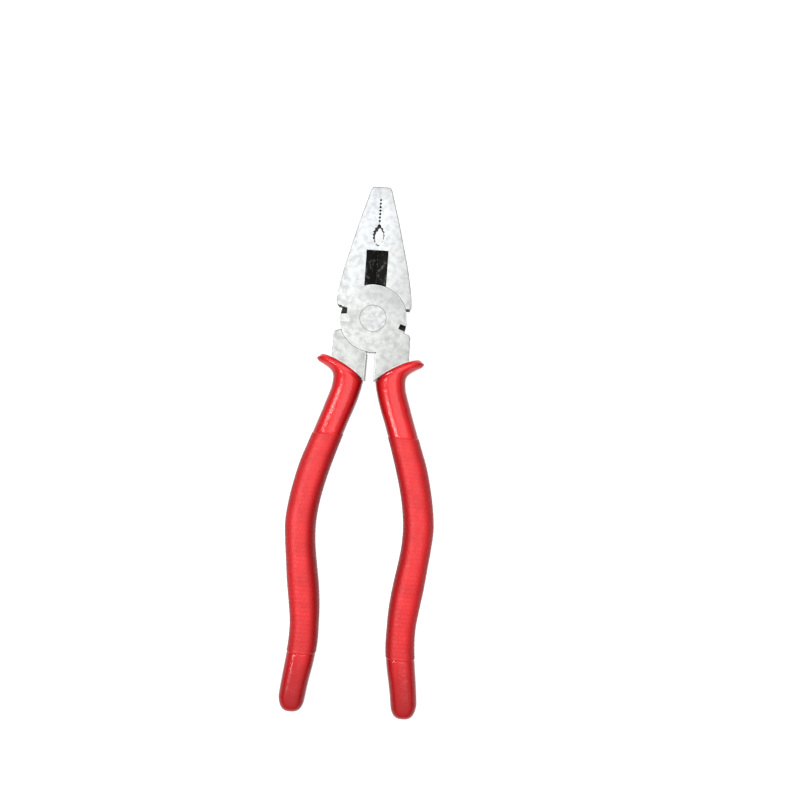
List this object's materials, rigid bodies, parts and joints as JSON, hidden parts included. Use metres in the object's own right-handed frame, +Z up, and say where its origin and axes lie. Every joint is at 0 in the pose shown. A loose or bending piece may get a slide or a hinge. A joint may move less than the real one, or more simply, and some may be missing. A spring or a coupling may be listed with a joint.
{
  "type": "lineman pliers",
  "caption": "Lineman pliers with lap-joint steel jaws, serrated nose, toothed pipe grip, side cutters and moulded red handle sleeves with thumb guards.",
  "frame": {"origin": "middle of the closed tool's footprint, on the surface it lies on", "axes": "+Z up along the pivot axis, +Y along the tool towards the jaw tip, +X towards the right handle as seen from above"},
  "size_m": [0.0594, 0.21, 0.0136],
  "materials": {
    "front_steel": "bead-blasted and plated, matte pearl",
    "back_steel": "bead-blasted and plated, matte pearl",
    "rivet_steel": "faced flush, satin",
    "right_sleeve": "glossy moulded PVC, fine texture in the middle",
    "left_sleeve": "glossy moulded PVC, fine texture in the middle"
  },
  "bodies": {
    "back_lever": {"back_jaw_half": "back_steel", "pivot_rivet": "rivet_steel", "left_grip_sleeve": "left_sleeve"},
    "front_lever": {"front_jaw_half": "front_steel", "right_grip_sleeve": "right_sleeve"}
  },
  "joints": [
    {"name": "jaw_pivot", "type": "hinge", "parent": "back_lever", "child": "front_lever", "pos_m": [0, 0.0529, 0.00682], "axis": [0, 0, 1], "range_deg": [0, 38]}
  ]
}
